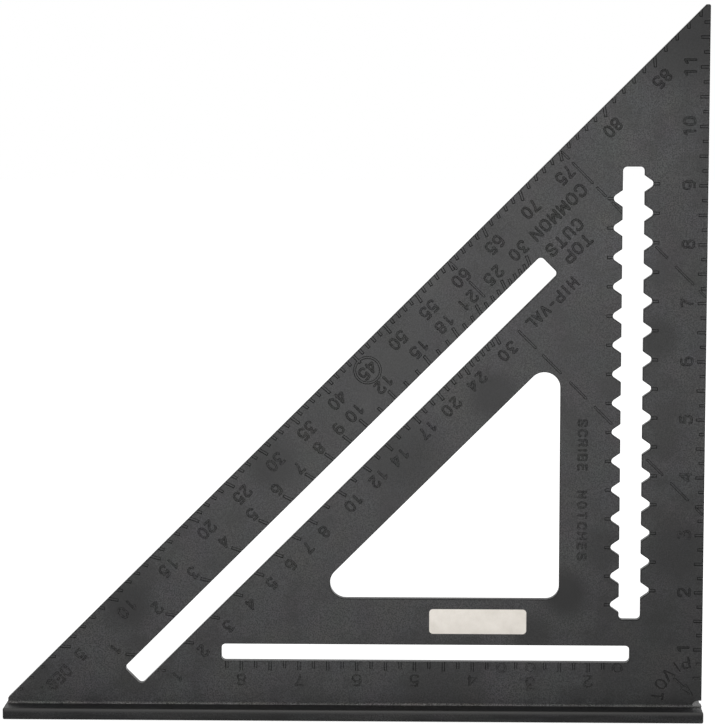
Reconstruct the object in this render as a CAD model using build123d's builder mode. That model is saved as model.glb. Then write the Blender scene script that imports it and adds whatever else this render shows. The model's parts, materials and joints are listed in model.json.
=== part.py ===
from build123d import *

import os
from math import atan2, cos, degrees, radians, sin, sqrt, tan

# Rafter square, twelve-inch size, standing on its fence.
# Frame: X along the fence with the pivot corner at +X, Y through the blade, +Z up, ground at Z = 0.

inch = 25.4

# Fence: a flat bar, square to the blade on both of its faces, with a low flared root that carries the blade.
fence_length = 306.4
fence_width = 1 * inch
fence_thickness = 5.0
fence_edge_radius = 0.6
fence_end_radius = 0.7
root_height = 0.9
root_flare = 0.9
root_sagitta = 0.15

# Blade outline. A point on the blade is (distance from the right-angle edge, height above the fence).
blade_thickness = 4.0
blade_reach = 307.64  # both legs, before the two sharp tips are cut back
toe_reach = 305.4
apex_height = 306.0
apex_corner_radius = 0.7
rim_chamfer = 0.3  # along its outline above the relief, and round every opening

# The point that the angles, the scribe notches and the scale under the fence slot are set out from.
scale_centre = (-1.05, 0.85)

# Relief at the pivot corner, so that the square can be rolled about it against a board's edge.
# Its floor is a low ridge of the root, which keeps the fence's two guide faces apart.
relief_width = 4.0
relief_height = 2.7
relief_radius = 2.7
relief_floor = 0.4

# Slot above the fence.
fence_slot_start = 31.8
fence_slot_end = 210.9
fence_slot_low = 19.45
fence_slot_high = 27.0
slot_corner_radius = 1.9

# Slot along the hypotenuse: distances along it from the toe, and in from it.
slope_slot_start = 49.3
slope_slot_end = 307.0
slope_slot_outer = 26.65
slope_slot_inner = 37.42

# Triangular window.
window_side = 62.8
window_base = 47.5
window_reach = 220.4
window_acute_radius = 7.0
window_square_radius = 5.8

# Upright scribe slot, with a notch for a pencil every quarter inch, left and right in turn.
scribe_slot_near = 27.25
scribe_slot_far = 36.66
scribe_slot_low = 38.6
scribe_slot_high = 236.8
notch_mouth = 7.15
notch_flank_angle = 34.7
notch_tip_radius = 1.85
notch_stub = 1.0  # how far its outline runs back into the slot
notch_pitch = inch / 2
notch_count = 15
near_notch_first = 2.0 * inch + scale_centre[1]
far_notch_first = 1.75 * inch + scale_centre[1]

# Graduations: grooves with sloping walls and a sloping end.
groove_width = 1.4
groove_depth = 0.35
groove_side = 0.35  # how far each wall leans in
groove_stub = 1.0  # how far the cutter runs on past the edge that a groove opens on
groove_lift = 0.2  # how far it stands proud of the face

# Inches: half inches up the right-angle edge and the quarters between them, one tick at each notch's tip,
# and the quarters under the slot above the fence, where two give way to rings.
inch_tick_short = 2.7
inch_tick_long = 4.0
inch_tick_first = 2  # in quarter inches
inch_tick_last = 47
notch_tick = 2.8
base_tick_short = 3.4
base_tick_long = 4.4
base_tick_first = 7
base_tick_last = 33
base_tick_gaps = (12, 14)

# Degrees along the hypotenuse, with a long tick every five.
degree_tick_short = 2.7
degree_tick_long = 4.7

# Rafter pitches beside the slot along the hypotenuse: the rise in a run of 12 on its outer side, and of 17,
# for hip and valley rafters, on its inner side. The rises that carry a number have the long ticks.
pitch_last = 30
common_run = 12
common_tick_short = 2.9
common_tick_long = 4.9
common_numbered = (1, 2, 3, 4, 5, 6, 7, 8, 9, 10, 12, 15, 18, 21, 25, 30)
hip_run = 17
hip_tick_short = 2.9
hip_tick_long = 4.2
hip_numbered = (1, 2, 3, 4, 5, 6, 7, 8, 10, 12, 14, 17, 20, 24, 30)

pivot_x = fence_length / 2
blade_front = -blade_thickness / 2

# The front of the blade, measured from the pivot corner: x runs towards the toe, y up.
face_plane = Plane(
    origin=(pivot_x, blade_front, fence_thickness),
    x_dir=(-1, 0, 0),
    z_dir=(0, 1, 0),
)
# The same face, measured along the hypotenuse: x runs from the toe to the apex, y in towards the pivot.
slope_plane = Plane(
    origin=(pivot_x - blade_reach, blade_front, fence_thickness),
    x_dir=(1, 0, 1),
    z_dir=(0, 1, 0),
)
# The end of the root, flush with the blade's toe: x runs through the blade, y up from the fence.
root_plane = Plane(
    origin=(pivot_x - toe_reach, 0, fence_thickness),
    x_dir=(0, 1, 0),
    z_dir=(1, 0, 0),
)


os.makedirs("parts", exist_ok=True)


with BuildPart() as fence:
    Box(
        fence_length,
        fence_width,
        fence_thickness,
        align=(Align.CENTER, Align.CENTER, Align.MIN),
    )
    fillet(fence.edges().filter_by(Axis.X), fence_edge_radius)
    fillet(fence.edges().filter_by(Axis.Z), fence_end_radius)

    # The root is as broad as the blade at its top and flares down on to the bar on both sides.
    with BuildSketch(root_plane):
        with BuildLine():
            Polyline(
                (blade_thickness / 2, root_height),
                (0, root_height),
                (0, 0),
                (blade_thickness / 2 + root_flare, 0),
            )
            SagittaArc(
                (blade_thickness / 2 + root_flare, 0),
                (blade_thickness / 2, root_height),
                -root_sagitta,
            )
        make_face()
        mirror(about=Plane.YZ)
    extrude(amount=toe_reach)

    # The relief takes the root's end down to the ridge.
    with Locations((pivot_x - relief_width / 2, 0, fence_thickness + (relief_floor + root_height) / 2)):
        Box(relief_width, fence_width, root_height - relief_floor, mode=Mode.SUBTRACT)
fence.part.label = "fence"


# A notch pointing along +X, with a short stub behind its mouth that joins it to the slot.
notch_reach = notch_mouth / 2 / tan(radians(notch_flank_angle))
with BuildSketch() as notch:
    with BuildLine():
        Polyline(
            (-notch_stub, -notch_mouth / 2),
            (0, -notch_mouth / 2),
            (notch_reach, 0),
            (0, notch_mouth / 2),
            (-notch_stub, notch_mouth / 2),
            close=True,
        )
    make_face()
    fillet(notch.vertices().sort_by(Axis.X)[-1], notch_tip_radius)
notch_depth = notch.sketch.bounding_box().max.X

near_notches = [(scribe_slot_near, near_notch_first + i * notch_pitch) for i in range(notch_count)]
far_notches = [(scribe_slot_far, far_notch_first + i * notch_pitch) for i in range(notch_count)]


def slot(start, end, low, high):
    # A slot with eased corners, from start to end along the sketch's x and from low to high in y.
    with Locations(((start + end) / 2, (low + high) / 2)):
        RectangleRounded(end - start, high - low, slot_corner_radius)


def cut_grooves(length, places):
    # Cuts a groove into the blade's front at each (u, v, angle), running in from the edge that it opens on.
    flare = groove_lift * groove_side / groove_depth
    cutter_length = length + groove_stub + 2 * flare
    cutter_width = groove_width + 2 * flare
    inset = flare + groove_side
    middle = ((length - groove_stub) / 2, 0, (groove_depth - groove_lift) / 2)
    grooves = [face_plane.location * Location((u, v, 0), (0, 0, angle)) for u, v, angle in places]
    with Locations(*grooves), Locations(middle):
        Wedge(
            cutter_length,
            groove_depth + groove_lift,
            cutter_width,
            inset,
            inset,
            cutter_length - inset,
            cutter_width - inset,
            rotation=(90, 0, 0),
            mode=Mode.SUBTRACT,
        )


def on_rays(angles, reach, turn):
    # Places where rays from the scales' centre, at these angles to the fence, meet the line u + v = reach.
    # A turn of 0 faces on along the ray, and one of 180 back to the centre.
    centre_u, centre_v = scale_centre
    places = []
    for angle in angles:
        along, up = cos(radians(angle)), sin(radians(angle))
        ray = (reach - centre_u - centre_v) / (along + up)
        places.append((centre_u + ray * along, centre_v + ray * up, angle + turn))
    return places


def pitch_angles(rises, run):
    return [degrees(atan2(rise, run)) for rise in rises]


relief_top = fence_thickness + relief_height
relief_run = sqrt(relief_radius**2 - (relief_radius - relief_height + root_height) ** 2)

with BuildPart() as blade:
    with BuildSketch(face_plane):
        with BuildLine():
            Polyline(
                (relief_width, root_height),
                (toe_reach, root_height),
                (toe_reach, blade_reach - toe_reach),
                (blade_reach - apex_height, apex_height),
                (0, apex_height),
                (0, relief_height),
                (relief_width - relief_run, relief_height),
            )
            RadiusArc(
                (relief_width - relief_run, relief_height),
                (relief_width, root_height),
                relief_radius,
            )
        make_face()
    extrude(amount=blade_thickness)
    fillet(blade.edges().filter_by(Axis.Y).sort_by(Axis.Z)[-2:], apex_corner_radius)

    # The rims that are eased: those of the outline above the relief, and then those of each opening.
    rims = blade.edges().filter_by(lambda rim: rim.center().Z > relief_top).filter_by(Axis.Y, reverse=True)

    # Slot above the fence, and slot along the hypotenuse.
    with BuildSketch(face_plane):
        slot(fence_slot_start, fence_slot_end, fence_slot_low, fence_slot_high)
    with BuildSketch(slope_plane):
        slot(slope_slot_start, slope_slot_end, slope_slot_outer, slope_slot_inner)
    extrude(amount=blade_thickness, mode=Mode.SUBTRACT)
    rims += blade.edges(Select.LAST).filter_by(Axis.Y, reverse=True)

    # Triangular window.
    with BuildSketch(face_plane) as window:
        with BuildLine():
            Polyline(
                (window_side, window_base),
                (window_reach - window_base, window_base),
                (window_side, window_reach - window_side),
                close=True,
            )
        make_face()
        square_corner = window.vertices().sort_by(lambda corner: corner.X + corner.Y)[0]
        fillet(square_corner, window_square_radius)
        acute_corners = [window.vertices().sort_by(Axis.X)[-1], window.vertices().sort_by(Axis.Y)[-1]]
        fillet(acute_corners, window_acute_radius)
    extrude(amount=blade_thickness, mode=Mode.SUBTRACT)
    rims += blade.edges(Select.LAST).filter_by(Axis.Y, reverse=True)

    # Scribe slot with its notches.
    with BuildSketch(face_plane):
        slot(scribe_slot_near, scribe_slot_far, scribe_slot_low, scribe_slot_high)
        with Locations(*near_notches):
            add(notch.sketch, rotation=180)
        with Locations(*far_notches):
            add(notch.sketch)
    extrude(amount=blade_thickness, mode=Mode.SUBTRACT)
    rims += blade.edges(Select.LAST).filter_by(Axis.Y, reverse=True)
    chamfer(rims, rim_chamfer)

    # Inches up the right-angle edge.
    quarters = range(inch_tick_first, inch_tick_last + 1)
    cut_grooves(inch_tick_long, [(0, i * inch / 4, 0) for i in quarters if i % 2 == 0])
    cut_grooves(inch_tick_short, [(0, i * inch / 4, 0) for i in quarters if i % 2])

    # One tick at the tip of each notch.
    near_tips = [(u - notch_depth, v, 180) for u, v in near_notches]
    far_tips = [(u + notch_depth, v, 0) for u, v in far_notches]
    cut_grooves(notch_tick, near_tips + far_tips)

    # Inches under the slot above the fence.
    base_quarters = [i for i in range(base_tick_first, base_tick_last + 1) if i not in base_tick_gaps]
    base_start = scale_centre[0]
    base_halves = [(base_start + i * inch / 4, fence_slot_low, -90) for i in base_quarters if i % 2 == 0]
    base_between = [(base_start + i * inch / 4, fence_slot_low, -90) for i in base_quarters if i % 2]
    cut_grooves(base_tick_long, base_halves)
    cut_grooves(base_tick_short, base_between)

    # Degrees along the hypotenuse.
    fives = [angle for angle in range(1, 90) if angle % 5 == 0]
    between_fives = [angle for angle in range(1, 90) if angle % 5]
    cut_grooves(degree_tick_long, on_rays(fives, blade_reach, 180))
    cut_grooves(degree_tick_short, on_rays(between_fives, blade_reach, 180))

    # Pitches of common rafters on the outer side of the slot along the hypotenuse.
    slot_outer_reach = blade_reach - sqrt(2) * slope_slot_outer
    common_plain = [rise for rise in range(1, pitch_last + 1) if rise not in common_numbered]
    cut_grooves(common_tick_long, on_rays(pitch_angles(common_numbered, common_run), slot_outer_reach, 0))
    cut_grooves(common_tick_short, on_rays(pitch_angles(common_plain, common_run), slot_outer_reach, 0))

    # Pitches of hip and valley rafters on its inner side.
    slot_inner_reach = blade_reach - sqrt(2) * slope_slot_inner
    hip_plain = [rise for rise in range(1, pitch_last + 1) if rise not in hip_numbered]
    cut_grooves(hip_tick_long, on_rays(pitch_angles(hip_numbered, hip_run), slot_inner_reach, 180))
    cut_grooves(hip_tick_short, on_rays(pitch_angles(hip_plain, hip_run), slot_inner_reach, 180))
blade.part.label = "blade"


export_step(fence.part, "parts/fence.step")
export_step(blade.part, "parts/blade.step")
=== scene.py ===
import json
from math import atan2, cos, pi, radians, sin, sqrt
import bpy
from mathutils import Matrix, Vector


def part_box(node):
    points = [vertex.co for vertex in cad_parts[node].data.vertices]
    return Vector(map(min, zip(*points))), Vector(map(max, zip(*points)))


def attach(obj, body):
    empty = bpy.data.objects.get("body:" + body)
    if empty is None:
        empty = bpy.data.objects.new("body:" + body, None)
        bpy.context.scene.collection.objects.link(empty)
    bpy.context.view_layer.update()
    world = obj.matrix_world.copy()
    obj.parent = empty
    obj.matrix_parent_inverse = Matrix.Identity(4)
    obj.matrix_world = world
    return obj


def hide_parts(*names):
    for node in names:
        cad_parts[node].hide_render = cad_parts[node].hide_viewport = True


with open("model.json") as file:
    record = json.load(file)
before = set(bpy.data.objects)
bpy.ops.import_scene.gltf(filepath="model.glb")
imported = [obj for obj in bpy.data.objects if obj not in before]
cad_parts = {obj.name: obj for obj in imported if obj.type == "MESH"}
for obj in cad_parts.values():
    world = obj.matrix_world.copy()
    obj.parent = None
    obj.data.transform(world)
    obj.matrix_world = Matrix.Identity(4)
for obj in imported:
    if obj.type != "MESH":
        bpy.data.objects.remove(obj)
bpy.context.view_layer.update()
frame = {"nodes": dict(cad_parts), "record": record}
print("frame loaded")

# Lengths are in millimetres and become metres where they meet Blender.
mm = 0.001
inch = 25.4
weldReach = 0.002  # points closer than this are joined
smoothAngle = radians(30)  # edges that turn less than this are shaded smooth
flatNormal = 0.97  # faces whose normal points more than this to the front or rear lie flat in it
white = (1, 1, 1, 1)

# The blade's faces are measured from the pivot corner: x is minus the distance from the right-angle edge
# and y is the height above the fence.
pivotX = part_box("blade")[1].x
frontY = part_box("blade")[0].y
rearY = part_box("blade")[1].y
mounts = {mount["name"]: mount for mount in frame["record"]["mounts"]}
fenceTop = mounts["fence_guide_front"]["pos_m"][2]


def selectOnly(piece):
    bpy.ops.object.select_all(action="DESELECT")
    piece.select_set(True)
    bpy.context.view_layer.objects.active = piece


def mergedCopy(node, name):  # a CAD node's triangles sewn together, with no shading of its own left on them
    source = frame["nodes"][node]
    piece = bpy.data.objects.new(name, source.data.copy())
    bpy.context.scene.collection.objects.link(piece)
    selectOnly(piece)
    bpy.ops.object.mode_set(mode="EDIT")
    bpy.ops.mesh.select_all(action="SELECT")
    bpy.ops.mesh.remove_doubles(threshold=weldReach * mm)
    bpy.ops.mesh.customdata_custom_splitnormals_clear()
    bpy.ops.object.mode_set(mode="OBJECT")
    piece.data.materials.clear()
    return piece


def addCamera():
    view = dict(place=(39.25, -1256.5, 309.55), turn=(83.05, 0.045, 1.68), lens=144.44, sensor=36, nearest=50)
    bpy.ops.object.camera_add(
        location=[value * mm for value in view["place"]],
        rotation=[radians(value) for value in view["turn"]],
    )
    camera = bpy.context.object
    camera.data.lens = view["lens"]
    camera.data.sensor_width = view["sensor"]
    camera.data.clip_start = view["nearest"] * mm
    bpy.context.scene.camera = camera


addCamera()
print("camera placed")


def newMaterial(name):
    material = bpy.data.materials.new(name)
    material.use_nodes = True
    nodes, links = material.node_tree.nodes, material.node_tree.links
    shader = nodes["Principled BSDF"]
    place = nodes.new("ShaderNodeTexCoord").outputs["Object"]
    return material, nodes, links, shader, place


def grey(value):
    return (value, value, value)


def addNoise(nodes, links, place, scale, detail=4.0, roughness=0.6):
    noise = nodes.new("ShaderNodeTexNoise")
    noise.inputs["Scale"].default_value = scale
    noise.inputs["Detail"].default_value = detail
    noise.inputs["Roughness"].default_value = roughness
    links.new(place, noise.inputs["Vector"])
    return noise


def addRamp(nodes, links, value, *stops):
    ramp = nodes.new("ShaderNodeValToRGB")
    while len(ramp.color_ramp.elements) < len(stops):
        ramp.color_ramp.elements.new(0.5)  # between the two that are there, and moved below
    for element, (position, colour) in zip(ramp.color_ramp.elements, stops):
        element.position = position
        element.color = (*colour, 1)
    links.new(value, ramp.inputs["Fac"])
    return ramp.outputs["Color"]


def mixColours(nodes, links, amount, first, second, blend="MIX"):
    # The node has sockets of one name for each kind of value, so those for colours are picked by number.
    mix = nodes.new("ShaderNodeMix")
    mix.data_type = "RGBA"
    mix.blend_type = blend
    for value, socket in ((amount, mix.inputs[0]), (first, mix.inputs[6]), (second, mix.inputs[7])):
        if isinstance(value, bpy.types.NodeSocket):
            links.new(value, socket)
        else:
            socket.default_value = (*value, 1) if isinstance(value, tuple) else value
    return mix.outputs[2]


def mapRange(nodes, links, value, start, end, low=0.0, high=1.0):
    smooth = nodes.new("ShaderNodeMapRange")
    smooth.interpolation_type = "SMOOTHSTEP"
    for name, number in (("From Min", start), ("From Max", end), ("To Min", low), ("To Max", high)):
        smooth.inputs[name].default_value = number
    links.new(value, smooth.inputs["Value"])
    return smooth.outputs["Result"]


spotCore = 0.3  # the share of a mark's radius that has its full strength


def addSmudge(nodes, links, place, colour, x, y, radius, strength):
    distance = nodes.new("ShaderNodeVectorMath")
    distance.operation = "DISTANCE"
    links.new(place, distance.inputs[0])
    distance.inputs[1].default_value = (pivotX + x * mm, frontY, fenceTop + y * mm)
    core = spotCore * radius * mm
    fade = mapRange(nodes, links, distance.outputs["Value"], core, radius * mm, 1 - strength, 1)
    return mixColours(nodes, links, 1.0, colour, fade, "MULTIPLY")


def addWear(nodes, links, place, colour, look):  # the fence's front gets lighter towards its upper edge
    # Painted highlight where the upper edge of the fence's front catches the light.
    height = nodes.new("ShaderNodeSeparateXYZ")
    links.new(place, height.inputs[0])
    amount = mapRange(nodes, links, height.outputs["Z"], look["highlightFrom"] * mm, look["highlightTo"] * mm)
    return mixColours(nodes, links, amount, colour, look["edgeHighlight"])


def addSpeckle(nodes, links, colour, grain, look):
    (low, dark), (high, light) = look["grainStops"]
    speckle = addRamp(nodes, links, grain, (low, grey(dark)), (high, grey(light)))
    return mixColours(nodes, links, look["speckle"], colour, speckle, "OVERLAY")


def addBump(nodes, links, shader, grain, look):
    bump = nodes.new("ShaderNodeBump")
    bump.inputs["Strength"].default_value = look["bump"]
    bump.inputs["Distance"].default_value = look["bumpHeight"] * mm
    links.new(grain, bump.inputs["Height"])
    links.new(bump.outputs["Normal"], shader.inputs["Normal"])


def coatMaterial(name, look):  # black coating: cloudy, finely grained, a little uneven in gloss
    material, nodes, links, shader, place = newMaterial(name)
    cloudPlace = place
    if "stretch" in look:  # draws the clouds out into streaks along the fence
        streaks = nodes.new("ShaderNodeMapping")
        streaks.inputs["Scale"].default_value = look["stretch"]
        links.new(place, streaks.inputs["Vector"])
        cloudPlace = streaks.outputs["Vector"]
    clouds = addNoise(nodes, links, cloudPlace, look["cloudScale"], detail=5.0).outputs["Fac"]
    tones = (look["dark"], look["middle"], look["light"])
    colour = addRamp(nodes, links, clouds, *zip(look["cloudStops"], tones))
    tints = addNoise(nodes, links, place, look["tintScale"], detail=3.0)
    colour = mixColours(nodes, links, look["tint"], colour, tints.outputs["Color"], "OVERLAY")
    grain = addNoise(nodes, links, place, look["grainScale"], detail=2.0).outputs["Fac"]
    colour = addSpeckle(nodes, links, colour, grain, look)
    # The look's soft spots: handling marks, painted shade and painted highlights.
    for spot in look["marksAndShade"]:
        colour = addSmudge(nodes, links, place, colour, *spot)
    # A painted highlight that lightens the fence's front towards its upper edge.
    if "edgeHighlight" in look:
        colour = addWear(nodes, links, place, colour, look)
    links.new(colour, shader.inputs["Base Color"])
    roughness = (grey(look["roughLow"]), grey(look["roughHigh"]))
    gloss = addRamp(nodes, links, clouds, *zip(look["glossStops"], roughness))
    links.new(gloss, shader.inputs["Roughness"])
    addBump(nodes, links, shader, grain, look)
    shader.inputs["Specular IOR Level"].default_value = look["specular"]
    return material


def inkMaterial(name, look):  # thick pale ink, a little uneven, with fine pits
    material, nodes, links, shader, place = newMaterial(name)
    clouds = addNoise(nodes, links, place, look["cloudScale"]).outputs["Fac"]
    colour = addRamp(nodes, links, clouds, *zip(look["cloudStops"], (look["dark"], look["light"])))
    grain = addNoise(nodes, links, place, look["grainScale"], detail=2.0).outputs["Fac"]
    colour = addSpeckle(nodes, links, colour, grain, look)
    links.new(colour, shader.inputs["Base Color"])
    shader.inputs["Roughness"].default_value = look["rough"]
    shader.inputs["Specular IOR Level"].default_value = look["specular"]
    addBump(nodes, links, shader, grain, look)
    return material


bladeLook = dict(
    dark=(0.012, 0.012, 0.0122), middle=(0.024, 0.024, 0.0248), light=(0.030, 0.0295, 0.030),
    cloudScale=48, cloudStops=(0.38, 0.5, 0.66), tintScale=60, tint=0.14,
    grainScale=1900, grainStops=((0.38, 0.1), (0.62, 0.9)), speckle=1.0,
    glossStops=(0.3, 0.7), roughLow=0.38, roughHigh=0.47, bump=0.5, bumpHeight=0.03, specular=0.25,
    # Soft spots in the coat, partly handling marks and partly painted shade and painted highlight: the broad
    # dark ones at the pivot corner, the apex, the foot and across the middle are painted shade, and the two
    # lighter ones are a painted highlight. Each one's place on the blade, its radius and its strength, which
    # is below zero where the coat gets lighter.
    marksAndShade=(
        (-8, 20, 68, 0.45), (-12, 70, 20, 0.7), (-44, 71, 13, 0.6), (-60, 50, 15, 0.95), (-74, 32, 13, 0.7),
        (-5, 306, 48, 0.8), (-132, 112, 26, 0.6), (-92, 138, 15, 0.8), (-115, 0, 30, 0.6),
        (-21, 163, 13, 0.7), (-188, 108, 17, 0.75), (-252, 45, 16, 0.75), (-100, 200, 32, 0.3),
        (-135, 160, 35, 0.4), (-165, 135, 28, 0.3), (-28, 250, 34, -0.35), (-48, 203, 32, -0.35),
    ),
)
# What is cut into the blade gets painted shade at the pivot corner, the apex and the foot only.
cutPaintedShade = ((-8, 20, 68, 0.7), (-5, 306, 48, 0.8), (-115, 0, 30, 0.6))
# Painted shade in the sloping walls of the grooves and on the eased rims.
wallShadeLook = dict(
    bladeLook, dark=grey(0.011), middle=grey(0.013), light=grey(0.015),
    roughLow=0.6, roughHigh=0.7, specular=0.17, marksAndShade=cutPaintedShade,
)
# The darkest painted shade, on the eased rim of the ruled edge.
edgeShadeLook = dict(
    bladeLook, dark=grey(0.002), middle=grey(0.003), light=grey(0.004),
    roughLow=0.7, roughHigh=0.8, specular=0.05, marksAndShade=(),
)
letterLook = dict(
    bladeLook, dark=grey(0.021), middle=grey(0.025), light=grey(0.0285),
    roughLow=0.55, roughHigh=0.65, specular=0.22, marksAndShade=cutPaintedShade,
)
# Painted shade: the fence's coat is darker than the blade's, for the shade on the fence's top beside the
# blade.
shadedFenceLook = dict(
    bladeLook, dark=(0.012, 0.012, 0.0125), middle=(0.0138, 0.0138, 0.0142), light=(0.0155, 0.0155, 0.0157),
    marksAndShade=(),
)
fenceFrontLook = dict(
    shadedFenceLook, dark=(0.004, 0.004, 0.0042), middle=(0.0105, 0.0105, 0.0108), light=(0.019, 0.019, 0.0192),
    cloudScale=300, stretch=(0.12, 1, 1), specular=0.17,
    # A painted highlight on the fence's front, just below its upper edge.
    edgeHighlight=(0.055, 0.054, 0.053), highlightFrom=3.0, highlightTo=4.7,
)
# Painted highlight on the groove walls near the fence that face up.
upLitLook = dict(
    bladeLook, dark=(0.032, 0.031, 0.031), middle=(0.038, 0.037, 0.037), light=(0.044, 0.043, 0.043),
    marksAndShade=(),
)
# Painted highlight on the ledge at the blade's foot.
ledgeHighlightLook = dict(
    bladeLook, dark=(0.06, 0.059, 0.058), middle=(0.08, 0.079, 0.077), light=(0.10, 0.098, 0.096),
    marksAndShade=(),
)
plateLook = dict(
    dark=(0.82, 0.77, 0.70), light=(0.93, 0.88, 0.81), cloudScale=180, cloudStops=(0.3, 0.7),
    grainScale=1800, grainStops=((0.3, 0.4), (0.7, 0.6)), speckle=0.35,
    rough=0.6, specular=0.2, bump=0.3, bumpHeight=0.03,
)
bladeCoat = coatMaterial("bladeCoat", bladeLook)
grooveWallShade = coatMaterial("grooveWallShade", wallShadeLook)
letterPaint = coatMaterial("letterPaint", letterLook)
upLitWall = coatMaterial("upLitWall", upLitLook)
ruledEdgeShade = coatMaterial("ruledEdgeShade", edgeShadeLook)
bladeFinishes = (bladeCoat, grooveWallShade, letterPaint, upLitWall, ruledEdgeShade)
shadedFenceCoat = coatMaterial("shadedFenceCoat", shadedFenceLook)
fenceFrontCoat = coatMaterial("fenceFrontCoat", fenceFrontLook)
ledgeHighlight = coatMaterial("ledgeHighlight", ledgeHighlightLook)
plateInk = inkMaterial("plateInk", plateLook)
print("materials made")


# Each letter is cut as strokes on a grid 4 across and 6 high, pass by pass: strokes that touch each other are
# cut in different passes. A stroke's points are a smooth curve's control points, and one that ends where it
# starts is a ring.
glyphs = {
    "0": [[[(0, 0), (4, 0), (4, 6), (0, 6), (0, 0)]]],
    "1": [[[(0, 4.6), (1.9, 6)]], [[(1.9, 6), (1.9, 0)]]],
    "2": [[[(0.1, 4.4), (0.1, 6), (4, 6), (4, 3.4), (1.2, 1.6), (0.1, 0)]], [[(0.1, 0), (4, 0)]]],
    "3": [[[(0.3, 6), (3.7, 6)], [(1.7, 3.5), (4, 3.7), (4, 0), (0.1, 0), (0, 1.4)]],
          [[(3.7, 6), (1.7, 3.5)]]],
    "4": [[[(3.5, 6), (3.5, 0)]], [[(3.5, 6), (-0.2, 1.5)]], [[(-0.2, 1.5), (4.2, 1.5)]]],
    "5": [[[(3.7, 6), (0.6, 6)], [(0.4, 3.2), (1.1, 4.0), (4, 4.2), (4, 0), (0.1, 0), (0, 1.3)]],
          [[(0.6, 6), (0.4, 3.2)]]],
    "6": [[[(0, 0), (4, 0), (4, 3.7), (0, 3.7), (0, 0)]], [[(3.2, 5.95), (0, 6), (0, 1.9)]]],
    "7": [[[(0, 6), (4, 6)]], [[(4, 6), (1.9, 3.2), (1.4, 0)]]],
    "8": [[[(0, 0), (4, 0), (4, 3.2), (0, 3.2), (0, 0)]],
          [[(0.3, 3.2), (3.7, 3.2), (3.7, 6), (0.3, 6), (0.3, 3.2)]]],
    "9": [[[(0, 2.3), (4, 2.3), (4, 6), (0, 6), (0, 2.3)]], [[(0.8, 0.05), (4, 0), (4, 4.1)]]],
    "A": [[[(0, 0), (2, 6)]], [[(2, 6), (4, 0)]], [[(0.7, 2), (3.3, 2)]]],
    "B": [[[(0, 0), (0, 6)]], [[(0, 6), (1.8, 6), (3.8, 6), (3.8, 3.2), (1.8, 3.2), (0, 3.2)]],
          [[(0, 3.2), (2, 3.2), (4, 3.2), (4, 0), (2, 0), (0, 0)]]],
    "C": [[[(4, 4.4), (4, 6), (0, 6), (0, 0), (4, 0), (4, 1.6)]]],
    "D": [[[(0, 0), (0, 6)]], [[(0, 6), (1.5, 6), (4, 6), (4, 0), (1.5, 0), (0, 0)]]],
    "E": [[[(0, 0), (0, 6)]], [[(0, 6), (3.7, 6)], [(0, 3.1), (3.3, 3.1)], [(0, 0), (3.7, 0)]]],
    "G": [[[(4, 4.5), (4, 6), (0, 6), (0, 0), (4, 0), (4, 2.8)]], [[(4, 2.8), (2.3, 2.8)]]],
    "H": [[[(0, 0), (0, 6)], [(4, 0), (4, 6)]], [[(0, 3), (4, 3)]]],
    "I": [[[(0, 0), (0, 6)]]],
    "L": [[[(0, 0), (0, 6)]], [[(0, 0), (3.6, 0)]]],
    "M": [[[(0, 0), (0, 6)], [(4, 0), (4, 6)]], [[(0, 6), (2, 1.4)]], [[(2, 1.4), (4, 6)]]],
    "N": [[[(0, 0), (0, 6)], [(4, 0), (4, 6)]], [[(0, 6), (4, 0)]]],
    "O": [[[(0, 0), (4, 0), (4, 6), (0, 6), (0, 0)]]],
    "P": [[[(0, 0), (0, 6)]], [[(0, 6), (2, 6), (4, 6), (4, 2.9), (2, 2.9), (0, 2.9)]]],
    "R": [[[(0, 0), (0, 6)], [(2.6, 2.9), (4, 0)]], [[(0, 6), (2, 6), (4, 6), (4, 2.9), (2, 2.9), (0, 2.9)]]],
    "S": [[[(4, 4.3), (4, 6), (0, 6), (0, 3.3), (4, 2.7), (4, 0), (0, 0), (0, 1.7)]]],
    "T": [[[(0, 6), (4, 6)]], [[(2, 6), (2, 0)]]],
    "U": [[[(0, 6), (0, 2), (0, 0), (4, 0), (4, 2), (4, 6)]]],
    "V": [[[(0, 6), (2, 0)]], [[(2, 0), (4, 6)]]],
    ".": [[[(0, 0), (0.3, 0)]]],
    "-": [[[(0, 3), (2.6, 3)]]],
}
gridWidth = 4
gridHeight = 6

# The cutter's section at full size. It widens from the groove's floor to the surface and stands above it by
# the lift. A stroke runs out at its ends, and its curve's order and steps say how round it is.
groove = dict(
    halfWidth=0.7, floorHalfWidth=0.35, depth=0.35, lift=0.15, runOut=0.5, endSize=0.3,
    curveOrder=3, curveSteps=3,
)

# Height and width over the strokes, the pitch of two letters or the gap between them, and the stroke's size.
inchSize = dict(height=6.0, width=4.3, pitch=5.0, stroke=0.8)
baseSize = dict(height=5.6, width=4.2, pitch=5.0, stroke=0.65)
degreeSize = dict(height=6.0, width=4.0, pitch=4.4, stroke=0.8)
commonSize = dict(height=5.8, width=4.0, pitch=5.0, stroke=0.8)
hipSize = dict(height=5.7, width=4.0, pitch=5.0, stroke=0.8)
scribeSize = dict(height=4.5, width=3.4, gap=1.0, stroke=0.7)
notchesSize = dict(scribeSize, gap=1.2)
pivotSize = dict(height=5.6, width=3.9, pitch=5.0, stroke=0.65)
roundSize = dict(pivotSize, width=4.4)

passCount = 4  # enough for all strokes that touch each other
passes = {
    (face, kind): [[] for number in range(passCount)]
    for face in ("front", "rear") for kind in ("letters", "lines")
}


def addStroke(points, size, cut, kind="lines", face="front"):
    passes[face, kind][cut].append((points, size))


def glyphSpan(letter):
    across = [x for strokes in glyphs[letter] for stroke in strokes for x, y in stroke]
    return min(across), max(across)


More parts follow.
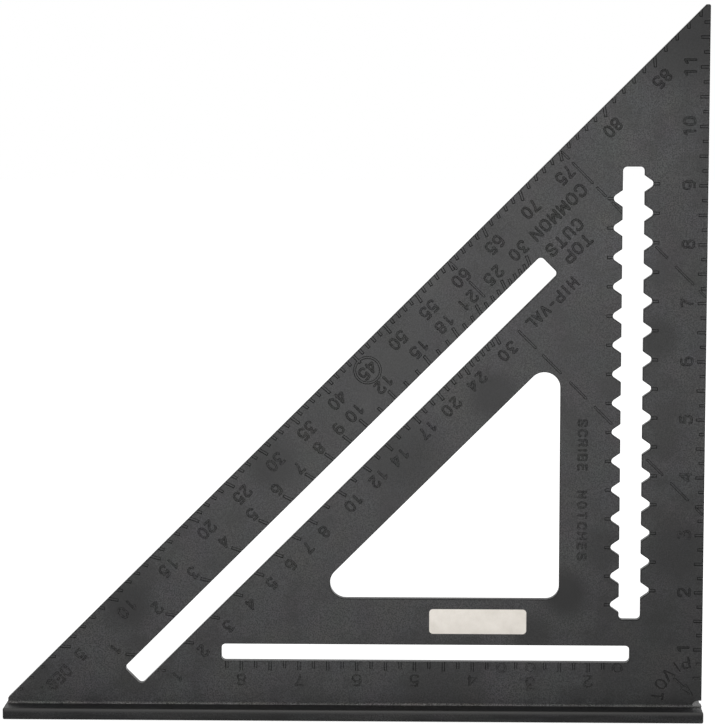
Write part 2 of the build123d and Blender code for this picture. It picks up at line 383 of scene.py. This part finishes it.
def letterMiddles(text, size, unitX, lineWidth):
    # How far along the text each letter's middle is, counted from the middle of the text.
    if "pitch" in size:
        return [(i - (len(text) - 1) / 2) * size["pitch"] for i in range(len(text))]
    widths = [(glyphSpan(letter)[1] - glyphSpan(letter)[0]) * unitX + lineWidth for letter in text]
    along = -(sum(widths) + size["gap"] * (len(text) - 1)) / 2
    middles = []
    for width in widths:
        middles.append(along + width / 2)
        along += width + size["gap"]
    return middles


def addText(text, x, y, angle, size, nudge=0, face="front"):
    # The middle of the text is at (x, y), it reads in the direction of the angle, and the nudge is along it.
    lineWidth = 2 * groove["halfWidth"] * size["stroke"]
    unitX = (size["width"] - lineWidth) / gridWidth
    unitY = (size["height"] - lineWidth) / gridHeight
    turn = Matrix.Rotation(radians(angle), 2)
    for letter, middle in zip(text, letterMiddles(text, size, unitX, lineWidth)):
        glyphMiddle = sum(glyphSpan(letter)) / 2
        for cut, strokes in enumerate(glyphs[letter]):
            for stroke in strokes:
                points = []
                for gridX, gridY in stroke:
                    along = nudge + middle + (gridX - glyphMiddle) * unitX
                    up = (gridY - gridHeight / 2) * unitY
                    point = turn @ Vector((along, up)) + Vector((x, y))
                    points.append((point.x, point.y))
                addStroke(points, size["stroke"], cut, "letters", face)


def addRing(x, y, radius, size, cut=0, corners=12):
    reach = radius / cos(pi / corners)  # out to the curve's control points
    angles = [2 * pi * i / corners for i in range(corners)]
    points = [(x + reach * cos(angle), y + reach * sin(angle)) for angle in angles]
    addStroke(points + points[:1], size, cut)


legReach = 307.64  # both legs of the blade, before its tips are cut back
scaleCentre = Vector((1.05, 0.85))  # what the angles and the scale under the fence slot are set out from


def slopePoint(along, inward):
    # A point measured from the toe along the hypotenuse, and in from it.
    return -(legReach - (along + inward) / sqrt(2)), (along - inward) / sqrt(2)


def rayPoint(angle, inward, textInward):
    # Where the ray at this angle crosses the line that far in from the hypotenuse, moved square to that line
    # until it is as far in as the text.
    reach = legReach - sqrt(2) * inward + scaleCentre.x - scaleCentre.y
    ray = reach / (cos(angle) + sin(angle))
    shift = (textInward - inward) / sqrt(2)
    return scaleCentre.x - ray * cos(angle) + shift, scaleCentre.y + ray * sin(angle) - shift


# The directions in which the lettering reads.
towardsToe = 225
towardsTop = 90
towardsFence = -90
alongFence = 180
rearTowardsToe = -45


def shiftOf(number, shifts):
    # Neighbouring numbers stand off their ticks by the same amount, from each first number on.
    return [shift for first, shift in shifts if first <= number][-1]


def layOutInches():
    inches = dict(numbers=range(1, 12), numberAt=8.35, lift=0.25, shifts=((1, 0), (10, -0.4)))
    for number in inches["numbers"]:
        height = number * inch + inches["lift"]
        shift = shiftOf(number, inches["shifts"])
        addText(str(number), -inches["numberAt"], height, towardsTop, inchSize, shift)


def layOutBase():
    base = dict(
        numbers=range(2, 9), height=10.9, lowered={3: 1.0},
        rings=(1.5, 3, 3.5), ringHeight=16.8, ringRadius=1.85, ringStroke=0.7,
    )
    for number in base["numbers"]:
        height = base["height"] - base["lowered"].get(number, 0)
        addText(str(number), scaleCentre.x - number * inch, height, alongFence, baseSize)
    for place in base["rings"]:
        addRing(scaleCentre.x - place * inch, base["ringHeight"], base["ringRadius"], base["ringStroke"])


def layOutDegrees():
    degree = dict(
        numbers=range(5, 90, 5), tickEnd=4.7, numberAt=9.15, shifts=((5, 0.4), (25, 0), (75, 3.0), (80, 0.4)),
        wideNumbers=(10, 15), widePitch=5.5,
        ringed=45, ringAt=9.0, ringRadius=5.6, ringStroke=0.85, ringCut=3,
    )
    for number in degree["numbers"]:
        x, y = rayPoint(radians(number), degree["tickEnd"], degree["numberAt"])
        size = dict(degreeSize, pitch=degree["widePitch"]) if number in degree["wideNumbers"] else degreeSize
        addText(str(number), x, y, towardsToe, size, shiftOf(number, degree["shifts"]))
    x, y = rayPoint(radians(degree["ringed"]), degree["tickEnd"], degree["ringAt"])
    addRing(x, y, degree["ringRadius"], degree["ringStroke"], degree["ringCut"])


def layOutRafterScales():
    common = dict(
        run=12, tickEnd=21.7, numberAt=18.25, size=commonSize,
        numbers=(1, 2, 3, 4, 5, 6, 7, 8, 9, 10, 12, 15, 18, 21, 25, 30),
        shifts=((1, 0), (9, -0.9), (18, 1.0)),
    )
    hip = dict(
        run=17, tickEnd=41.9, numberAt=46.0, size=hipSize,
        numbers=(1, 2, 3, 4, 5, 6, 7, 8, 10, 12, 14, 17, 20, 24, 30),
        shifts=((1, -1.0), (2, 0.5), (10, -0.3)),
    )
    for scale in (common, hip):
        for number in scale["numbers"]:
            x, y = rayPoint(atan2(number, scale["run"]), scale["tickEnd"], scale["numberAt"])
            addText(str(number), x, y, towardsToe, scale["size"], shiftOf(number, scale["shifts"]))


def layOutWords():
    # How far along the hypotenuse and in from it each word's middle is, and its size.
    words = (
        ("COMMON", 325.75, 18.55, dict(height=6.1, width=4.6, pitch=5.35, stroke=0.85)),
        ("CUTS", 320.0, 28.05, dict(height=5.9, width=4.2, pitch=5.2, stroke=0.85)),
        ("TOP", 320.6, 35.4, dict(height=5.8, width=4.6, pitch=5.2, stroke=0.85)),
        ("HIP-VAL", 295.95, 44.7, dict(height=5.7, width=3.8, pitch=4.2, stroke=0.8)),
        ("DEG.", 23.5, 9.7, dict(height=5.8, width=3.8, pitch=4.2, stroke=0.8)),
    )
    for word, along, inward, size in words:
        addText(word, *slopePoint(along, inward), towardsToe, size)

    notchWords = dict(across=-53.0, words=(("SCRIBE", 115.9, scribeSize), ("NOTCHES", 80.4, notchesSize)))
    for word, height, size in notchWords["words"]:
        addText(word, notchWords["across"], height, towardsFence, size)


def layOutPivotCorner():
    # The letters round the corner: each one's angle and distance from it, how it is turned, and its size.
    pivotLetters = (
        ("P", 110, 20.8, 190, pivotSize), ("I", 122, 20.6, 215, pivotSize), ("V", 136, 20.6, 226, roundSize),
        ("O", 151, 20.4, 238, roundSize), ("T", 167, 20.0, 265, pivotSize),
    )
    for letter, angle, reach, turn, size in pivotLetters:
        addText(letter, reach * cos(radians(angle)), reach * sin(radians(angle)), turn, size)
    arrow = dict(tail=(-12.0, 12.5), tip=(-4.2, 5.2), head=5.4, headAngle=16, stroke=0.55, shaftStroke=0.85)
    tail, tip = Vector(arrow["tail"]), Vector(arrow["tip"])
    back = (tail - tip).normalized() * arrow["head"]
    headTurns = (radians(arrow["headAngle"]), -radians(arrow["headAngle"]))
    corners = [tip + Matrix.Rotation(turn, 2) @ back for turn in headTurns]
    addStroke([tuple(tip), tuple(corners[0])], arrow["stroke"], cut=1)
    addStroke([tuple(tip), tuple(corners[1])], arrow["stroke"], cut=2)
    addStroke([tuple(corner) for corner in corners], arrow["stroke"], cut=3)
    addStroke([tuple(tail), tuple(tip + back)], arrow["shaftStroke"], cut=0)


def layOutGuideLines():
    # Two dashed guide lines run square in from the hypotenuse, each at one distance along it.
    guide = dict(stroke=0.78, cut=3, dashes=(
        (344.9, ((1.2, 5.2), (7.7, 20.0), (22.7, 28.0), (32.0, 38.0), (58.9, 65.4), (70.8, 81.8),
                 (85.6, 89.3))),
        (277.4, ((1.2, 5.0), (12.8, 22.0), (43.0, 53.5), (58.0, 69.0), (74.6, 84.7), (89.8, 100.2),
                 (122.5, 131.8), (137.0, 147.7), (152.8, 156.6))),
    ))
    for along, stretches in guide["dashes"]:
        for start, end in stretches:
            addStroke([slopePoint(along, start), slopePoint(along, end)], guide["stroke"], guide["cut"])


def layOutRear():
    # The rear is seen from behind, so there x runs from the right-angle edge towards the toe.
    inches = dict(
        quarters=range(1, 47), start=0.9, ends=(7.0, 3.2, 5.0, 3.2), stroke=0.5, cut=0,
        numbers=range(1, 12), numberAt=11.0,
    )
    for quarter in inches["quarters"]:
        height = quarter * inch / 4
        end = inches["ends"][quarter % 4]
        addStroke([(inches["start"], height), (end, height)], inches["stroke"], inches["cut"], face="rear")
    for number in inches["numbers"]:
        addText(str(number), inches["numberAt"], number * inch, towardsTop, inchSize, face="rear")

    degree = dict(
        marks=range(2, 89), start=0.9, shortEnd=3.2, tickEnd=5.2, stroke=0.4, cut=1,
        numberEvery=5, numberAt=9.8,
    )
    for number in degree["marks"]:
        angle = radians(number)
        numbered = number % degree["numberEvery"] == 0
        reach = degree["tickEnd"] if numbered else degree["shortEnd"]
        ends = [rayPoint(angle, inward, inward) for inward in (degree["start"], reach)]
        addStroke([(-x, y) for x, y in ends], degree["stroke"], degree["cut"], face="rear")
        if numbered:
            x, y = rayPoint(angle, degree["tickEnd"], degree["numberAt"])
            addText(str(number), -x, y, rearTowardsToe, degreeSize, face="rear")


layOutRear()
layOutInches()
layOutBase()
layOutDegrees()
layOutRafterScales()
layOutWords()
layOutPivotCorner()
layOutGuideLines()
print("lettering laid out,", sum(len(strokes) for cuts in passes.values() for strokes in cuts), "strokes")


def cutterProfile():
    lowY, highY = -groove["depth"], groove["lift"]
    lowX, highX = groove["floorHalfWidth"], groove["halfWidth"]
    curve = bpy.data.curves.new("cutterSection", "CURVE")
    curve.dimensions = "2D"
    curve.fill_mode = "NONE"
    spline = curve.splines.new("POLY")
    corners = [(-lowX, lowY), (lowX, lowY), (highX, 0), (highX, highY), (-highX, highY), (-highX, 0)]
    spline.points.add(len(corners) - 1)
    for point, (x, y) in zip(spline.points, corners):
        point.co = (x * mm, y * mm, 0, 1)
    spline.use_cyclic_u = True
    profile = bpy.data.objects.new("cutterSection", curve)
    bpy.context.scene.collection.objects.link(profile)
    return profile


def cutterFor(strokes, profile, place, turn):
    curve = bpy.data.curves.new("cutter", "CURVE")
    curve.dimensions = "3D"
    curve.twist_mode = "Z_UP"
    curve.bevel_mode = "OBJECT"
    curve.bevel_object = profile
    curve.use_fill_caps = True
    curve.resolution_u = groove["curveSteps"]
    for points, size in strokes:
        closed = points[0] == points[-1]
        if closed:
            line = [(x, y, size) for x, y in points[:-1]]
        else:
            line = [(x, y, size) for x, y in points]
            for end, near in ((0, 1), (-1, -2)):
                away = (Vector(points[end]) - Vector(points[near])).normalized() * groove["runOut"] * size
                outer = (points[end][0] + away.x, points[end][1] + away.y, size * groove["endSize"])
                inner = (*points[end], size)
                line = [outer, inner] + line if end == 0 else line + [inner, outer]
        spline = curve.splines.new("NURBS")
        spline.points.add(len(line) - 1)
        for point, (x, y, radius) in zip(spline.points, line):
            point.co = (x * mm, y * mm, 0, 1)
            point.radius = radius
        spline.order_u = groove["curveOrder"]
        spline.use_cyclic_u = closed
        spline.use_endpoint_u = not closed
    cutter = bpy.data.objects.new("cutter", curve)
    bpy.context.scene.collection.objects.link(cutter)
    cutter.location = place
    cutter.rotation_euler = turn
    selectOnly(cutter)
    bpy.ops.object.convert(target="MESH")
    cutter = bpy.context.object
    bpy.ops.object.mode_set(mode="EDIT")
    bpy.ops.mesh.select_all(action="SELECT")
    bpy.ops.mesh.remove_doubles(threshold=weldReach * mm)  # sews the caps on
    bpy.ops.mesh.normals_make_consistent(inside=False)
    bpy.ops.object.mode_set(mode="OBJECT")
    bpy.ops.object.transform_apply(location=True, rotation=True, scale=True)
    return cutter


def cutStrokes(blade, face, place, turn):
    # What a cutter leaves behind takes the cutter's finish: paint in the front's letters, the painted shade
    # of the groove walls in the rear's, and bare coating in the lines.
    profile = cutterProfile()
    letterFinish = letterPaint if face == "front" else grooveWallShade
    for kind, finish in (("letters", letterFinish), ("lines", bladeCoat)):
        for strokes in passes[face, kind]:
            if not strokes:
                continue
            cutter = cutterFor(strokes, profile, place, turn)
            for material in bladeFinishes:
                cutter.data.materials.append(material)
            finishNumber = bladeFinishes.index(finish)
            for side in cutter.data.polygons:
                side.material_index = finishNumber
            selectOnly(blade)
            cut = blade.modifiers.new("cut", "BOOLEAN")
            cut.operation = "DIFFERENCE"
            cut.solver = "MANIFOLD"
            cut.object = cutter
            bpy.ops.object.modifier_apply(modifier=cut.name)
            bpy.data.objects.remove(cutter)
    bpy.data.objects.remove(profile)


def darkenWalls(blade):
    # Painted shade: the sloping walls of the lines and ticks and the eased rims are darker and duller than
    # the coat. The rim of the ruled edge gets the darkest painted shade, and near the fence the walls that
    # look up get a painted highlight.
    walls = dict(
        leastSlope=0.2, footHeight=2,
        litHeight=19.5, litTilt=0.35, rimWidth=0.6, rimTilt=0.3,
    )
    foot = fenceTop + walls["footHeight"] * mm
    litTop = fenceTop + walls["litHeight"] * mm
    rimStart = pivotX - walls["rimWidth"] * mm
    finishes = (bladeCoat, grooveWallShade, upLitWall, ruledEdgeShade)
    coat, wallShade, upLit, ruledShade = [bladeFinishes.index(finish) for finish in finishes]
    for face in blade.data.polygons:
        if not walls["leastSlope"] < abs(face.normal.y) < flatNormal or face.center.z < foot:
            continue
        if face.center.x > rimStart and face.normal.x > walls["rimTilt"]:
            face.material_index = ruledShade
        elif face.center.z < litTop and face.normal.z > walls["litTilt"]:
            face.material_index = upLit
        elif face.material_index == coat:
            face.material_index = wallShade


def makeBlade():
    blade = mergedCopy("blade", "blade_body")
    for material in bladeFinishes:
        blade.data.materials.append(material)
    cutStrokes(blade, "front", (pivotX, frontY, fenceTop), (radians(90), 0, 0))
    cutStrokes(blade, "rear", (pivotX, rearY, fenceTop), (radians(90), 0, radians(180)))
    darkenWalls(blade)
    selectOnly(blade)
    bpy.ops.object.shade_smooth_by_angle(angle=smoothAngle)
    for face in blade.data.polygons:
        if abs(face.normal.y) > flatNormal:
            face.use_smooth = False
    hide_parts("blade")
    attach(blade, "root")
    print("blade made,", len(blade.data.polygons), "faces")


makeBlade()


def makeFence():
    fence = mergedCopy("fence", "fence_bar")
    finishes = (shadedFenceCoat, fenceFrontCoat, bladeCoat, ledgeHighlight)
    for material in finishes:
        fence.data.materials.append(material)
    # The root is finished with the blade that it carries, and its ledge gets a painted highlight.
    zones = dict(rootFrom=0.1, facing=0.3)
    for face in fence.data.polygons:
        if face.center.z > fenceTop + zones["rootFrom"] * mm:
            finish = ledgeHighlight if face.normal.z > zones["facing"] else bladeCoat
        else:
            finish = fenceFrontCoat if face.normal.y < -zones["facing"] else shadedFenceCoat
        face.material_index = finishes.index(finish)
    selectOnly(fence)
    bpy.ops.object.shade_smooth_by_angle(angle=smoothAngle)
    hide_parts("fence")
    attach(fence, "root")
    print("fence made")


makeFence()


def makeBlankPlate():
    # A plain pale plate, left blank, where such a square has room for its owner's mark.
    plate = dict(
        left=119.5, right=77.0, low=32.0, high=43.0, corner=1.6, cornerSegments=8,
        thickness=0.15, sunk=0.1, edge=0.05, edgeSegments=2,
    )
    width, height = plate["left"] - plate["right"], plate["high"] - plate["low"]
    middle = ((plate["left"] + plate["right"]) / 2, (plate["low"] + plate["high"]) / 2)
    bpy.ops.object.select_all(action="DESELECT")
    bpy.ops.mesh.primitive_plane_add(
        size=mm,
        location=(pivotX - middle[0] * mm, frontY - plate["thickness"] * mm, fenceTop + middle[1] * mm),
        rotation=(radians(90), 0, 0),
    )
    piece = bpy.context.object
    piece.name = "blank_plate"
    piece.scale = (width, height, 1)
    bpy.ops.object.transform_apply(location=True, rotation=True, scale=True)
    bpy.ops.object.mode_set(mode="EDIT")
    bpy.ops.mesh.select_all(action="SELECT")
    bpy.ops.mesh.bevel(offset=plate["corner"] * mm, segments=plate["cornerSegments"], affect="VERTICES")
    depth = (plate["thickness"] + plate["sunk"]) * mm
    bpy.ops.mesh.extrude_region_move(TRANSFORM_OT_translate={"value": (0, depth, 0)})
    bpy.ops.mesh.select_all(action="SELECT")
    bpy.ops.mesh.normals_make_consistent(inside=False)
    bpy.ops.object.mode_set(mode="OBJECT")
    rim = piece.modifiers.new("rim", "BEVEL")
    rim.width = plate["edge"] * mm
    rim.segments = plate["edgeSegments"]
    selectOnly(piece)
    bpy.ops.object.modifier_apply(modifier=rim.name)
    bpy.ops.object.shade_smooth_by_angle(angle=smoothAngle)
    piece.data.materials.append(plateInk)
    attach(piece, "root")
    print("blank plate made")


makeBlankPlate()


def whiteInView(nodes, links, base, amount):
    # The base lights the object. The amount is added to it only for what the camera sees, straight or by way
    # of glossy and clear surfaces.
    path = nodes.new("ShaderNodeLightPath")
    seen = path.outputs["Is Camera Ray"]
    for name in ("Is Glossy Ray", "Is Transmission Ray"):
        most = nodes.new("ShaderNodeMath")
        most.operation = "MAXIMUM"
        links.new(seen, most.inputs[0])
        links.new(path.outputs[name], most.inputs[1])
        seen = most.outputs[0]
    strength = nodes.new("ShaderNodeMath")
    strength.operation = "MULTIPLY_ADD"
    links.new(seen, strength.inputs[0])
    strength.inputs[1].default_value = amount
    strength.inputs[2].default_value = base
    return strength.outputs[0]


def makeFloor():
    look = dict(size=8000, colour=grey(0.8), roughness=0.9, specular=0.0, base=0.0, glow=0.75)
    bpy.ops.mesh.primitive_plane_add(size=look["size"] * mm, location=(0, 0, 0))
    floor = bpy.context.object
    floor.name = "floor"
    material, nodes, links, shader, _ = newMaterial("floorPaper")
    shader.inputs["Base Color"].default_value = (*look["colour"], 1)
    shader.inputs["Roughness"].default_value = look["roughness"]
    shader.inputs["Specular IOR Level"].default_value = look["specular"]
    shader.inputs["Emission Color"].default_value = white
    links.new(whiteInView(nodes, links, look["base"], look["glow"]), shader.inputs["Emission Strength"])
    floor.data.materials.append(material)


def makeWorld():
    look = dict(base=0.45)  # the share that lights the object, while the camera sees full white
    world = bpy.data.worlds.new("studio")
    bpy.context.scene.world = world
    world.use_nodes = True
    nodes, links = world.node_tree.nodes, world.node_tree.links
    background = nodes["Background"]
    background.inputs["Color"].default_value = white
    links.new(whiteInView(nodes, links, look["base"], 1 - look["base"]), background.inputs["Strength"])


def addLamp(name, place, target, size, power):
    bpy.ops.object.light_add(type="AREA", location=[value * mm for value in place])
    lamp = bpy.context.object
    lamp.name = name
    lamp.data.shape = "RECTANGLE"
    lamp.data.size = size[0] * mm
    lamp.data.size_y = size[1] * mm
    lamp.data.energy = power
    lamp.visible_camera = False  # its light is seen, the lamp itself isn't
    aim = Vector(target) * mm - lamp.location
    lamp.rotation_euler = aim.to_track_quat("-Z", "Y").to_euler()


def makeLight():
    bladeMiddle = (0, 0, 150)
    lamps = dict(
        keyLamp=dict(place=(-81, -1300, 150), size=(280, 280), power=4.8),
        fillLamp=dict(place=(-81, -1300, 320), size=(500, 500), power=2.5),
        # Well to the side, so that it doesn't shine along the slots' lower walls.
        rearLamp=dict(place=(900, 900, 150), size=(400, 280), power=8.0),
    )
    for name, lamp in lamps.items():
        addLamp(name, lamp["place"], bladeMiddle, lamp["size"], lamp["power"])


makeFloor()
makeWorld()
makeLight()
bpy.context.scene.view_settings.view_transform = "Standard"
print("floor and light made")
